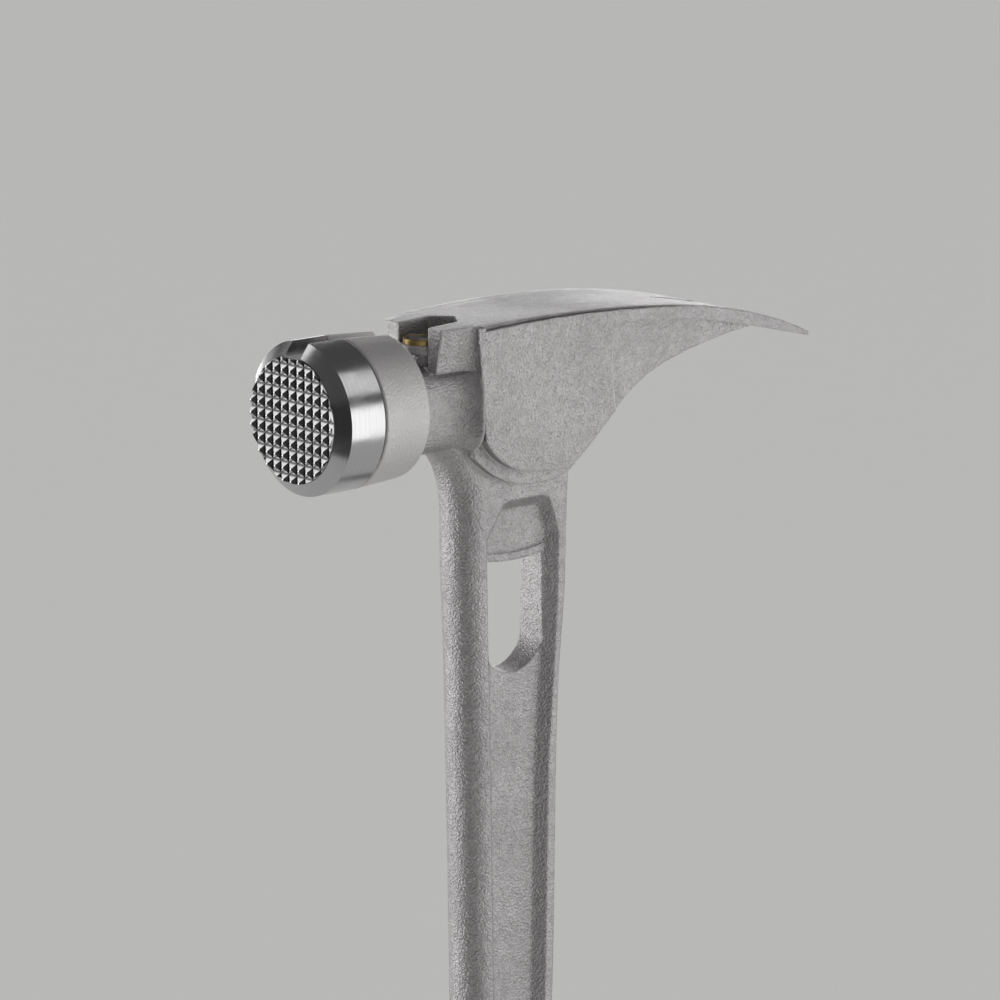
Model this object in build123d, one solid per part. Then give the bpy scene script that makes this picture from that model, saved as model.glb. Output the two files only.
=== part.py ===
from build123d import *
import math
import os

# Framing hammer: a one-piece cast head, claw and handle with a pull-off milled striking cap.
# Frame: millimetres, +Z up the handle to the head, +X from the handle towards the claw, so the
# striking cap looks along -X. The origin is the middle of the flat butt, on the handle axis.
# Shapes of the head are drawn about the head axis, which crosses the handle axis, then lifted.

os.makedirs("parts", exist_ok=True)

# ---- whole tool ----
overall_length = 445.0  # butt to the crown of the top plate
crown_rise = 16.9  # head axis to that crown
head_axis_height = overall_length - crown_rise

# ---- striking cap ----
cap_radius = 16.5
cap_rim_reach = 55.0  # handle axis to the front rim of the cap's full diameter
cap_length = 9.3  # front rim to the joint face
cap_bevel_in = 3.0  # width of the front bevel across the radius
cap_bevel_forward = 2.3  # and along the head
joint_gap = 0.25  # the hairline between cap and collar
joint_edge_break = 0.3
tooth_pitch = 2.6
tooth_height = 0.8
tooth_tip_flat = 0.3

# ---- spigot of the cap and its socket in the collar ----
spigot_radius = 7.5
spigot_length = 14.0
socket_clearance = 0.05
socket_end_gap = 1.0
spigot_flat_depth = 1.0
spigot_flat_length = 8.6  # from the spigot's rear end
o_ring_section = 0.9  # radius of the ring's own section
o_ring_setback = 2.6  # joint face to the middle of the ring's groove
o_ring_groove_side = 0.15
o_ring_squash_room = 0.15

# ---- collar, neck and cheeks of the casting ----
collar_length = 13.0
collar_rear_radius = 15.7
collar_rear_round = 1.2
nail_groove_width = 5.2
nail_groove_floor = 13.0  # height of the groove's floor over the head axis
neck_half_width = 7.3
neck_half_height = 9.9
neck_corner = 6.4
neck_drop = 2.0  # head axis to the middle of the neck
neck_flare_lengths = (0.135, 0.36, 0.71)  # where the flare thins, as shares of the neck's length
neck_root = 4.2  # the neck's spread into the cheeks, in front of them
cheek_front = 14.9  # handle axis to the cheeks' front edge at the top
cheek_front_low = 12.8  # and at the bottom
cheek_top = 15.2
cheek_low = -9.0  # foot of the straight front edge
cheek_half_width = 11.2  # at the front edge
ledge_half_width = 8.3
lip_overhang = 0.9
lip_thickness = 0.2
lip_groove_height = 1.1
lip_groove_depth = 1.6
web_inset = 1.5  # under the claw's edge strip
web_inset_low = 0.1  # where the rib's underside meets the cheeks

# ---- top plate and claw ----
prong_reach = 24.0  # handle axis to the front of the two prongs
prong_top = 16.1  # head axis to the plate's upper face there
prong_underside = 12.6
claw_arch = [(36.0, 15.3), (60.0, 11.3)]  # two points of the upper face behind the crown
crown_x = 8.0
prong_half_width = 9.2
prong_shoulder = 16.2  # handle axis to the corners where the plate reaches the lip's width
prong_edge_break = 0.7
prong_cove_half_width = 9.6
gusset_foot_height = 6.4  # head axis to the feet of those gussets
gusset_top = 15.6  # inside the plate
gusset_draft = 1.7  # the feet stand in by this much on each side
notch_half_width = 4.8
notch_straight = 8.5
notch_length = 11.9
notch_floor = 7.6
claw_reach = 86.2  # handle axis to the claw's tip
claw_thickness = 3.4
claw_tip_thickness = 0.95
claw_tip_height = 2.7
claw_tip_half_width = 9.4
claw_half_width = 13.6
claw_slot_length = 40.0
claw_slot_root = 0.8
claw_slot_mouth = 5.0

# ---- handle ----
handle_half_width = 5.9
handle_front_round = 5.4
handle_rear_round = 1.3
handle_depth = 29.4  # at the foot of the head
shank_depth = 23.2  # where the grip starts
recess_depth = 2.5
recess_top = 24.3  # below the head axis
recess_wall = 5.5  # front edge of the handle to the recess
recess_rear_wall = 2.4
recess_corner = 3.0
recess_floor_round = 1.2
window_front_wall = 7.0  # front edge of the handle to the window
window_top = 37.5  # below the head axis
window_height = 26.1
window_width = 17.0
window_round = 8.4
window_lip_height = 0.7
window_lip_width = 1.7

# ---- grip ----
grip_length = 200.0
grip_end_depth = 28.5
grip_end_width = 19.0
grip_waist_depth = 33.0
grip_waist_width = 26.0
grip_palm_depth = 36.5
grip_palm_width = 28.5
grip_flare_depth = 41.0
grip_flare_width = 30.5
butt_cap_length = 9.0
grip_groove_pitch = 15.0
grip_groove_foot = 32.0  # butt to the middle of the lowest groove
grip_groove_clear = 30.0  # the top groove stays at least this far under the grip's top
grip_groove_depth = 0.9
grip_groove_floor = 2.4  # height of a groove's floor
grip_groove_mouth = 6.4  # and of its mouth
grip_groove_half_width = 10.5
grip_groove_overcut = 0.05  # the cutter's walls start this far outside the sleeve

# ---- nail magnet ----
magnet_radius = 3.35
magnet_height = 1.9
magnet_cup_wall = 0.65
magnet_cup_height = 2.6
magnet_cup_proud = 1.3  # stands out of its seat
magnet_set_down = 0.15  # the magnet's top below the cup's rim
magnet_setback = 2.4  # prong fronts to the middle of the magnet
magnet_seat_height = 12.0  # head axis to the top of the seat
magnet_seat_thickness = 1.9
magnet_seat_wall = 0.55
magnet_pillar_radius = 3.0

# ---- lock screw under the collar ----
lock_screw_radius = 3.0
lock_screw_length = 6.0
lock_screw_clearance = 0.05
lock_screw_setback = 7.6  # joint face to the screw's axis
lock_screw_thread_pitch = 1.0
lock_screw_thread_depth = 0.45
hex_across_flats = 3.0
hex_depth = 3.2
tip_radius = 1.9
tip_length = 1.7
tip_stem_radius = 1.1
tip_stem_length = 1.4
tip_clearance = 0.05

# ---- places worked out from the sizes above ----
cap_rim_x = -cap_rim_reach
joint_x = cap_rim_x + cap_length
collar_front_x = joint_x + joint_gap
collar_rear_x = collar_front_x + collar_length
spigot_end_x = joint_x + spigot_length
socket_radius = spigot_radius + socket_clearance
o_ring_x = joint_x + o_ring_setback
o_ring_radius = spigot_radius - o_ring_squash_room - o_ring_section
lock_screw_x = joint_x + lock_screw_setback
spigot_flat_height = spigot_radius - spigot_flat_depth
tip_face = spigot_flat_height + tip_clearance
screw_start = tip_face + tip_length
prong_x = -prong_reach
magnet_x = prong_x + magnet_setback
magnet_cup_radius = magnet_radius + magnet_cup_wall
magnet_cup_base = magnet_seat_height + magnet_cup_proud - magnet_cup_height
handle_front_x = -handle_depth / 2 + 0.6
handle_rear_x = handle_front_x + handle_depth
shank_front_x = -shank_depth / 2 - 0.3
shank_rear_x = shank_front_x + shank_depth
window_x = handle_front_x + window_front_wall + window_width / 2
grip_top_z = grip_length - head_axis_height
cut_margin = 2.0


def side_face(*edges):
    """A face drawn in the XZ plane, about the head axis."""
    return Plane.XZ * make_face(edges)


def slab(face, half_width):
    """A side face spread evenly to both sides of the head's middle."""
    return extrude(face, amount=half_width, both=True)


def top_line(drop=0.0):
    """The arched line of the top plate's upper face, from the prongs to the claw's tip."""
    arch = [(prong_x, prong_top), (crown_x, crown_rise), *claw_arch, (claw_reach, claw_tip_height)]
    return Spline(*[(x, z - drop) for x, z in arch])


def plan_outline(inset, claw_inset=0.0):
    """Plan of the head; the cheeks lie inside the lip by inset, the claw's rib by claw_inset."""
    front = prong_half_width - inset - claw_inset
    shoulder = cheek_half_width + lip_overhang - 0.5 - inset - claw_inset
    widest = claw_half_width - 0.55 * inset - claw_inset
    tail = claw_half_width - 1.1 - claw_inset
    tip = claw_tip_half_width - claw_inset
    run = Line((prong_x, front), (-prong_shoulder, shoulder))
    side = Spline(
        (-prong_shoulder, shoulder),
        (5.0, shoulder + 1.2),
        (34.0, widest),
        (60.0, tail),
        (claw_reach, tip),
    )
    nose = Line((claw_reach, tip), (claw_reach, -tip))
    mouth = Line((prong_x, -front), (prong_x, front))
    return make_face([run, side, nose, mirror(side, Plane.XZ), mirror(run, Plane.XZ), mouth])


def plan_block(inset):
    """The plan outline as a tall block to trim the head with."""
    return extrude(Pos(0, 0, -40) * plan_outline(inset), amount=70)


def collar():
    """Socketed collar that carries the striking cap."""
    rear = collar_rear_x
    profile = make_face(
        Polyline(
            (collar_front_x, 0),
            (collar_front_x, cap_radius - joint_edge_break),
            (collar_front_x + joint_edge_break, cap_radius),
            (rear, collar_rear_radius),
            (rear, 0),
            close=True,
        )
    )
    body = revolve(Plane.XZ * profile, axis=Axis.X)
    rim = body.edges().filter_by(GeomType.CIRCLE).sort_by(Axis.X)[-1]
    return fillet(rim, collar_rear_round)


def neck():
    """Waisted neck of rounded section that flares into the collar and into the cheeks."""
    flare = collar_rear_radius - collar_rear_round - 1.4
    wide = neck_half_width
    high = neck_half_height
    waist_end = -cheek_front - neck_root
    thick, thin, waist = [
        collar_rear_x + share * (waist_end - collar_rear_x) for share in neck_flare_lengths
    ]
    sections = [
        (collar_rear_x - 0.6, flare, flare + 0.1, flare - 0.5, 0.0),
        (thick, wide + 2.3, high + 1.4, wide + 1.6, 1.0),
        (thin, wide + 0.5, high + 0.3, neck_corner + 0.7, 1.7),
        (waist, wide, high, neck_corner, neck_drop),
        (waist_end, wide + 0.1, high, neck_corner, neck_drop),
        (waist_end + 2.6, wide + 1.2, high, neck_corner, neck_drop),
        (waist_end + 4.2, wide + 3.0, high, neck_corner, neck_drop),
        (waist_end + 5.0, wide + 4.6, high, neck_corner, neck_drop),
    ]
    faces = [
        Plane((x, 0, -drop), x_dir=(0, 1, 0), z_dir=(1, 0, 0))
        * RectangleRounded(2 * half_width, 2 * half_height, corner)
        for x, half_width, half_height, corner, drop in sections
    ]
    front = Pos(-cheek_front - 50.0 + 1.6, 0, 0) * Box(100, 60, 60)
    return loft(faces) & front


def cheek_side():
    """Side outline of the solid cheeks and of the rib under the claw."""
    front_top = (-cheek_front, cheek_top)
    front_low = (-cheek_front_low, cheek_low)
    keel = (1.5, -17.4)
    heel = (9.4, -17.9)
    return side_face(
        Line(front_top, front_low),
        ThreePointArc(front_low, (-7.6, -14.6), keel),
        Line(keel, heel),
        Spline(
            heel,
            (17.2, -12.2),
            (32.0, -0.5),
            (48.4, 4.4),
            (67.0, 6.6),
            tangents=[(1, 0.45), (1, 0.05)],
        ),
        Line((67.0, 6.6), (50.0, 12.0)),
        Line((50.0, 12.0), (24.0, cheek_top)),
        Line((24.0, cheek_top), front_top),
    )


def web_recess():
    """Cutter that sets the flanks in under the claw's edge strip, fading out towards the heel."""
    high = 13.0  # inside the plate
    low = -13.0
    far = 95.0
    deep = -20.0
    side = side_face(
        Spline((25.8, high), (23.3, 10.6), (22.2, 5.1), (23.2, -7.0), (22.0, deep)),
        Line((22.0, deep), (far, deep)),
        Line((far, deep), (far, high)),
        Line((far, high), (25.8, high)),
    )
    kept = loft(
        [
            Pos(0, 0, low) * plan_outline(lip_overhang, web_inset_low),
            Pos(0, 0, high + 1.0) * plan_outline(lip_overhang, web_inset),
        ],
        ruled=True,
    )
    reach = Pos(60, 0, (low + high) / 2) * Box(140, 60, high - low)
    return (slab(side, claw_half_width + cut_margin) & reach) - kept


def cheeks():
    """Solid middle of the head, as wide as the plan outline inside the lip."""
    block = slab(cheek_side(), claw_half_width + cut_margin) & plan_block(lip_overhang)
    return block - web_recess()


def ledge():
    """Lower step under the cheeks, with a soft skirt down to the handle."""
    start = (-cheek_front_low - 1.3, -9.5)
    corner = (-cheek_front_low - 1.1, -12.9)
    keel = (5.0, -21.0)
    end = (15.3, -18.2)
    outline = side_face(
        Line(start, corner),
        ThreePointArc(corner, (-4.6, -19.3), keel),
        ThreePointArc(keel, (10.6, -20.4), end),
        Line(end, (12.0, -9.5)),
        Line((12.0, -9.5), start),
    )
    return slab(outline, ledge_half_width)


def top_plate():
    """Arched plate over the head: prongs in front, lip over the cheeks, claw behind."""
    upper = top_line()
    underside = Spline(
        (claw_reach, claw_tip_height - claw_tip_thickness),
        (66.7, 6.5),
        (44.0, 14.4 - claw_thickness),
        (24.0, 15.65 - claw_thickness),
        (prong_x, prong_underside),
    )
    nose = Line((claw_reach, claw_tip_height), (claw_reach, claw_tip_height - claw_tip_thickness))
    front = Line((prong_x, prong_underside), (prong_x, prong_top))
    blank = slab(side_face(upper, nose, underside, front), claw_half_width + cut_margin)
    return blank & plan_block(0.0)


def lip_cut():
    """What is taken off under the lip: the overhang's underside and its shadow groove."""
    groove_end = (46.0, 13.7)
    under = top_line(lip_thickness)
    arch_x, arch_z = claw_arch[0]
    arch = (arch_x, arch_z - lip_thickness)
    tail = claw_tip_height - 20.0
    outside = side_face(
        under,
        Line((claw_reach, claw_tip_height - lip_thickness), (claw_reach, tail)),
        Line((claw_reach, tail), (prong_x, tail)),
        Line((prong_x, tail), (prong_x, prong_top - lip_thickness)),
    )
    behind = Pos(-cheek_front + 60.0, 0, 0) * Box(120, 80, 120)
    in_front = Pos(-cheek_front - 60.0, 0, 0) * Box(120, 80, 120)
    blank = slab(outside, claw_half_width + cut_margin)
    over_cheeks = (blank - plan_block(lip_overhang)) & behind
    over_prongs = (blank & in_front) - gusset_block()
    groove_low = 15.9 - lip_thickness - lip_groove_height
    groove = side_face(
        Spline((-cheek_front, 16.4 - lip_thickness), (crown_x, crown_rise - lip_thickness), arch),
        Line(arch, groove_end),
        Spline(groove_end, (20.0, 15.6), (-cheek_front, groove_low)),
        Line((-cheek_front, groove_low), (-cheek_front, 16.4 - lip_thickness)),
    )
    ring = slab(groove, claw_half_width + cut_margin) - plan_block(lip_overhang + lip_groove_depth)
    return over_cheeks + over_prongs, ring


def prong_plan(draft=0.0, rear_x=-cheek_front):
    """Plan of both prongs inside the lip, curving out to the cheeks at rear_x."""
    front = prong_half_width - lip_thickness - draft
    side = prong_cove_half_width - draft
    cove = cheek_half_width - 0.5 - side
    start_x = rear_x - cove
    turn = cove * math.sin(math.pi / 4)
    end_x = -cheek_front_low
    run = Line((prong_x, front), (start_x, side))
    arc = ThreePointArc((start_x, side), (start_x + turn, side + cove - turn), (rear_x, side + cove))
    back = Line((rear_x, side + cove), (end_x, side + cove))
    close = Line((end_x, side + cove), (end_x, -side - cove))
    edges = [run, arc, back, close, mirror(back, Plane.XZ), mirror(arc, Plane.XZ), mirror(run, Plane.XZ)]
    return make_face(edges + [Line((prong_x, -front), (prong_x, front))])


def gusset_block():
    """Drafted block of both gussets, from their feet to above the plate."""
    rise = gusset_top - gusset_foot_height
    high = 17.0
    draft_up = gusset_draft * (high - gusset_top) / rise
    lean = (cheek_front - cheek_front_low) / (cheek_top - cheek_low)
    foot = prong_plan(gusset_draft, -cheek_front + lean * (cheek_top - gusset_foot_height))
    head = prong_plan(-draft_up, -cheek_front + lean * (cheek_top - high))
    return loft([Pos(0, 0, gusset_foot_height) * foot, Pos(0, 0, high) * head], ruled=True)


def prongs():
    """Two gussets under the front of the plate; the notch between them is cut later."""
    above = Pos(prong_x, 0, gusset_top + 10.0) * Box(60, 60, 20)
    return gusset_block() - above


def prong_corner_cuts():
    """Bevels on the two upright front corners of the prongs, up to just under the plate."""
    size = prong_edge_break
    triangle = make_face(
        Polyline(
            (prong_x - 0.01, prong_half_width - size),
            (prong_x - 0.01, prong_half_width + 1.0),
            (prong_x + size + 0.4, prong_half_width + 1.0),
            (prong_x + size, prong_half_width),
            close=True,
        )
    )
    prism = extrude(triangle, amount=15.5)
    return prism + mirror(prism, Plane.XZ)


def magnet_seat():
    """Round seat on a pillar that holds the nail magnet between the prongs."""
    cup = Pos(magnet_x, 0, magnet_seat_height - magnet_seat_thickness)
    disc = cup * Cylinder(
        magnet_cup_radius + magnet_seat_wall,
        magnet_seat_thickness,
        align=(Align.CENTER, Align.CENTER, Align.MIN),
    )
    pillar_foot = neck_half_height - neck_drop - 2.0
    pillar = Pos(magnet_x + 0.8, 0, pillar_foot) * Cylinder(
        magnet_pillar_radius,
        magnet_seat_height - magnet_seat_thickness - pillar_foot,
        align=(Align.CENTER, Align.CENTER, Align.MIN),
    )
    return disc + pillar


def handle_side():
    """Side outline of the handle, flared forward into the throat under the collar."""
    foot = butt_cap_length - head_axis_height
    top = -10.2
    straight = -150.0
    front = Spline(
        (handle_front_x - 9.0, top),
        (handle_front_x - 3.4, -15.3),
        (handle_front_x - 1.2, -20.8),
        (handle_front_x - 0.5, -35.0),
        (handle_front_x - 0.1, -45.5),
        (shank_front_x - 1.1, -84.0),
        (shank_front_x, straight),
    )
    rear = Spline(
        (shank_rear_x, straight),
        (shank_rear_x + 1.5, -85.0),
        (handle_rear_x - 1.3, -60.0),
        (handle_rear_x - 0.2, -48.0),
        (handle_rear_x + 0.3, -33.4),
        (handle_rear_x + 0.8, -19.6),
        (handle_rear_x + 1.0, top),
    )
    return side_face(
        front,
        Line((shank_front_x, straight), (shank_front_x, foot)),
        Line((shank_front_x, foot), (shank_rear_x, foot)),
        Line((shank_rear_x, foot), (shank_rear_x, straight)),
        rear,
        Line((handle_rear_x + 1.0, top), (handle_front_x - 9.0, top)),
    )


def handle_bar():
    """Handle blank: rounded front column and a squarer rear edge."""
    bar = slab(handle_side(), handle_half_width)
    long_edges = bar.edges().filter_by(lambda e: e.length > 60.0)
    front = long_edges.filter_by(lambda e: e.center().X < 0)
    bar = fillet(front, handle_front_round)
    long_edges = bar.edges().filter_by(lambda e: e.length > 60.0)
    rear = long_edges.filter_by(lambda e: e.center().X > shank_rear_x - 0.5 and abs(e.center().Y) > 1.0)
    return fillet(rear, handle_rear_round)


def recess_face():
    """Outline of the recess in the handle's side, at the handle's surface."""
    left = handle_front_x + recess_wall
    right = handle_rear_x - recess_rear_wall
    low = grip_top_z + 22.0
    points = [
        (left + 5.4, -recess_top),
        (right - 3.0, -recess_top),
        (right, -recess_top - 9.0),
        (right - 0.4, -50.0),
        (shank_rear_x - recess_rear_wall + 1.1, -85.0),
        (shank_rear_x - recess_rear_wall, -150.0),
        (shank_rear_x - recess_rear_wall, low),
        (shank_front_x + recess_wall, low),
        (shank_front_x + recess_wall, -150.0),
        (left + 0.6, -60.0),
        (left, -32.0),
    ]
    face = make_face(Polyline(*points, close=True))
    corners = face.vertices().group_by(Axis.Y)
    return fillet(corners[-1] + corners[0], recess_corner)


def recess_cuts():
    """Pockets with sloped walls and soft feet, one in each side of the handle."""
    surface = Plane((0, handle_half_width, 0), x_dir=(1, 0, 0), z_dir=(0, -1, 0)) * recess_face()
    inward = extrude(surface, amount=recess_depth, taper=45)
    floor = inward.faces().sort_by(Axis.Y)[0]
    inward = fillet(floor.edges(), recess_floor_round)
    pocket = inward + extrude(surface, amount=-cut_margin)
    return pocket + mirror(pocket, Plane.XZ)


def window_face():
    """Outline of the window through the handle: square-shouldered above, round below."""
    half = window_width / 2
    top = -window_top
    low = -window_top - window_height
    spring = low + window_round * 0.72
    return side_face(
        Line((window_x - half, spring), (window_x - half, top)),
        ThreePointArc((window_x - half, top), (window_x, top - 0.7), (window_x + half, top)),
        Line((window_x + half, top), (window_x + half, spring)),
        ThreePointArc((window_x + half, spring), (window_x, low), (window_x - half, spring)),
    )


def window_lip():
    """Low raised band over the window, on both recess floors."""
    half = window_width / 2
    top = -window_top
    band = side_face(
        ThreePointArc((window_x - half, top), (window_x, top - 0.7), (window_x + half, top)),
        Line((window_x + half, top), (window_x + half, top + window_lip_width)),
        ThreePointArc(
            (window_x + half, top + window_lip_width),
            (window_x, top + window_lip_width - 0.7),
            (window_x - half, top + window_lip_width),
        ),
        Line((window_x - half, top + window_lip_width), (window_x - half, top)),
    )
    return slab(band, handle_half_width - recess_depth + window_lip_height)


def nail_groove(start_x, end_x):
    """Cutter for the groove along the top of the cap and the collar."""
    length = end_x - start_x
    return Pos(start_x + length / 2, 0, nail_groove_floor + 5.0) * Box(length, nail_groove_width, 10.0)


def notch_cut():
    """Starter notch between the prongs, with a V at its back."""
    front = prong_x - cut_margin
    straight = prong_x + notch_straight
    outline = make_face(
        Polyline(
            (front, -notch_half_width),
            (straight, -notch_half_width),
            (prong_x + notch_length, 0),
            (straight, notch_half_width),
            (front, notch_half_width),
            close=True,
        )
    )
    return extrude(Pos(0, 0, notch_floor) * outline, amount=30)


def claw_slot_cut():
    """Nail-pulling slot of the claw, from its rounded root to its mouth."""
    root_x = claw_reach - claw_slot_length
    mouth_x = claw_reach + cut_margin
    arc = ThreePointArc((root_x, -claw_slot_root), (root_x - claw_slot_root, 0), (root_x, claw_slot_root))
    outline = make_face(
        [
            arc,
            Line((root_x, claw_slot_root), (mouth_x, claw_slot_mouth)),
            Line((mouth_x, claw_slot_mouth), (mouth_x, -claw_slot_mouth)),
            Line((mouth_x, -claw_slot_mouth), (root_x, -claw_slot_root)),
        ]
    )
    return extrude(Pos(0, 0, -30) * outline, amount=60)


def hammer_body():
    """The one-piece casting: collar, neck, cheeks, claw, handle and the tang inside the grip."""
    overhang, groove = lip_cut()
    head = top_plate() + cheeks()
    head = head - overhang - groove
    head = head + prongs() - prong_corner_cuts()
    body = head + collar() + neck() + handle_bar() + ledge()
    body = body - notch_cut() - claw_slot_cut()
    body = body - recess_cuts()
    body = body + window_lip()
    body = body - slab(window_face(), handle_half_width + cut_margin)
    body = body + magnet_seat()
    cup_pocket = Pos(magnet_x, 0, magnet_cup_base) * Cylinder(
        magnet_cup_radius, 20, align=(Align.CENTER, Align.CENTER, Align.MIN)
    )
    body = body - cup_pocket
    body = body - nail_groove(collar_front_x - cut_margin, collar_rear_x + 0.5)
    socket_depth = spigot_end_x + socket_end_gap - collar_front_x
    body = body - x_cylinder(socket_radius, collar_front_x - cut_margin, socket_depth + cut_margin)
    body = body - z_cylinder(
        lock_screw_radius + lock_screw_clearance, lock_screw_x, -cap_radius - cut_margin, -spigot_flat_height
    )
    return body


def x_cylinder(radius, start_x, length):
    """A cylinder on the head axis, from start_x towards +X."""
    return Pos(start_x, 0, 0) * Rot(0, 90, 0) * Cylinder(
        radius, length, align=(Align.CENTER, Align.CENTER, Align.MIN)
    )


def z_cylinder(radius, x, low, high):
    """An upright cylinder between two heights."""
    return Pos(x, 0, low) * Cylinder(radius, high - low, align=(Align.CENTER, Align.CENTER, Align.MIN))


def milled_teeth():
    """Square pyramids on the cap's front, cut by two sets of V-grooves."""
    radius = cap_radius - cap_bevel_in
    front_x = cap_rim_x - cap_bevel_forward
    teeth = x_cylinder(radius, front_x - tooth_height, tooth_height)
    rows = math.ceil(radius / tooth_pitch) + 1
    half_groove = (tooth_pitch - tooth_tip_flat) / 2
    overcut = 0.3
    flare = half_groove * (1 + overcut / tooth_height)
    outer_x = front_x - tooth_height - overcut
    groove = make_face(Polyline((front_x, 0), (outer_x, flare), (outer_x, -flare), close=True))
    across = extrude(Plane.XY * groove, amount=radius + cut_margin, both=True)
    along = Rot(90, 0, 0) * across
    for row in range(-rows, rows + 1):
        shift = (row + 0.5) * tooth_pitch
        teeth = teeth - Pos(0, shift, 0) * across
        teeth = teeth - Pos(0, 0, shift) * along
    return teeth


def milled_face():
    """Steel striking cap with milled teeth in front and a spigot behind."""
    front_x = cap_rim_x - cap_bevel_forward
    profile = make_face(
        Polyline(
            (front_x, 0),
            (front_x, cap_radius - cap_bevel_in),
            (cap_rim_x, cap_radius),
            (joint_x - joint_edge_break, cap_radius),
            (joint_x, cap_radius - joint_edge_break),
            (joint_x, spigot_radius),
            (spigot_end_x - 0.8, spigot_radius),
            (spigot_end_x, spigot_radius - 0.8),
            (spigot_end_x, 0),
            close=True,
        )
    )
    cap = revolve(Plane.XZ * profile, axis=Axis.X)
    cap = cap + milled_teeth()
    groove_half = o_ring_section + o_ring_groove_side
    ring_seat = x_cylinder(spigot_radius + 1.0, o_ring_x - groove_half, 2 * groove_half)
    ring_core = x_cylinder(o_ring_radius - o_ring_section, o_ring_x - groove_half, 2 * groove_half)
    cap = cap - (ring_seat - ring_core)
    flat = Pos(spigot_end_x - spigot_flat_length / 2, 0, -spigot_flat_height - 5.0) * Box(
        spigot_flat_length, 2 * cap_radius, 10.0
    )
    return cap - flat - nail_groove(front_x - tooth_height - cut_margin, joint_x)


def face_o_ring():
    """Rubber ring in the spigot's groove."""
    return Pos(o_ring_x, 0, 0) * Rot(0, 90, 0) * Torus(o_ring_radius, o_ring_section)


def face_lock_screw():
    """Hex-socket set screw with a turned thread, its swivel tip's stem bore in front."""
    top = -screw_start
    low = top - lock_screw_length
    turns = int((lock_screw_length - 1.0) / lock_screw_thread_pitch)
    root = lock_screw_radius - lock_screw_thread_depth
    points = [(0, top), (root, top), (lock_screw_radius, top - 0.5)]
    for turn in range(turns):
        crest = top - 0.5 - turn * lock_screw_thread_pitch
        points.append((lock_screw_radius, crest - 0.3 * lock_screw_thread_pitch))
        points.append((root, crest - 0.65 * lock_screw_thread_pitch))
        points.append((lock_screw_radius, crest - lock_screw_thread_pitch))
    points += [(lock_screw_radius, low + 0.4), (lock_screw_radius - 0.4, low), (0, low)]
    screw = revolve(Plane.XZ * make_face(Polyline(*points, close=True)), axis=Axis.Z)
    key = Pos(0, 0, low - 0.1) * extrude(
        RegularPolygon(hex_across_flats / 2, 6, major_radius=False), amount=hex_depth + 0.1
    )
    bore = z_cylinder(tip_stem_radius + tip_clearance, 0, top - tip_stem_length - 0.2, top + 0.5)
    return Pos(lock_screw_x, 0, 0) * (screw - key - bore)


def lock_screw_tip():
    """Brass swivel tip that presses on the spigot's flat."""
    pad = z_cylinder(tip_radius, lock_screw_x, -screw_start, -tip_face)
    stem = z_cylinder(tip_stem_radius, lock_screw_x, -screw_start - tip_stem_length, -screw_start)
    return pad + stem


def magnet_cup():
    """Gilt steel cup that holds the nail magnet."""
    base = magnet_cup_base
    cup = z_cylinder(magnet_cup_radius, magnet_x, base, base + magnet_cup_height)
    rim = cup.edges().filter_by(GeomType.CIRCLE).sort_by(Axis.Z)[-1]
    cup = fillet(rim, 0.3)
    floor = base + magnet_cup_height - magnet_set_down - magnet_height
    return cup - z_cylinder(magnet_radius, magnet_x, floor, base + magnet_cup_height + 1.0)


def nail_magnet():
    """Magnet disc that holds a nail's head in the starter notch."""
    top = magnet_cup_base + magnet_cup_height - magnet_set_down
    disc = z_cylinder(magnet_radius, magnet_x, top - magnet_height, top)
    return chamfer(disc.edges().filter_by(GeomType.CIRCLE).sort_by(Axis.Z)[-1], 0.25)


def grip_sections():
    """Height above the butt, depth and width of each oval section of the grip."""
    return [
        (butt_cap_length, grip_flare_depth, grip_flare_width),
        (butt_cap_length + 9.0, grip_flare_depth - 1.4, grip_flare_width - 0.6),
        (0.24 * grip_length, grip_waist_depth, grip_waist_width),
        (0.50 * grip_length, grip_palm_depth, grip_palm_width),
        (0.76 * grip_length, grip_waist_depth - 0.6, grip_waist_width - 1.0),
        (grip_length - 8.0, grip_end_depth + 1.6, grip_end_width + 2.2),
        (grip_length, grip_end_depth, grip_end_width),
    ]


def grip_blank():
    """Lofted outer form of the sleeve."""
    faces = [Pos(0, 0, z) * Ellipse(depth / 2, width / 2) for z, depth, width in grip_sections()]
    return loft(faces)


def tang_space(low, high):
    """The tang's own shape between two heights above the butt."""
    window = Pos(0, 0, (low + high) / 2) * Box(80, 60, high - low)
    return (Pos(0, 0, head_axis_height) * handle_bar()) & window


def oval_at(blank, height):
    """Depth and width of the grip's outer form at a height above the butt."""
    thin = Pos(0, 0, height) * Box(80, 60, 0.1)
    size = (blank & thin).bounding_box().size
    return size.X, size.Y


def grip_groove(blank, height):
    """Cutter for one groove across the grip's front and back, with sloped walls."""
    mouth = grip_groove_mouth / 2
    floor = grip_groove_floor / 2
    rows = [
        (-mouth, -grip_groove_overcut),
        (-floor, grip_groove_depth),
        (floor, grip_groove_depth),
        (mouth, -grip_groove_overcut),
    ]
    ovals = []
    for rise, sunk in rows:
        depth, width = oval_at(blank, height + rise)
        ovals.append(Pos(0, 0, height + rise) * Ellipse(depth / 2 - sunk, width / 2 - sunk))
    reach = Pos(0, 0, height) * Box(80, 2 * grip_groove_half_width, grip_groove_mouth)
    return reach - loft(ovals, ruled=True)


def grip_sleeve():
    """Rubber sleeve over the tang, with grooves for the fingers and the palm."""
    sleeve = grip_blank()
    blank = sleeve
    room = grip_length - grip_groove_clear - grip_groove_foot
    for row in range(int(room / grip_groove_pitch) + 1):
        sleeve = sleeve - grip_groove(blank, grip_groove_foot + row * grip_groove_pitch)
    return sleeve - tang_space(0.0, grip_length + 1.0)


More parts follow.
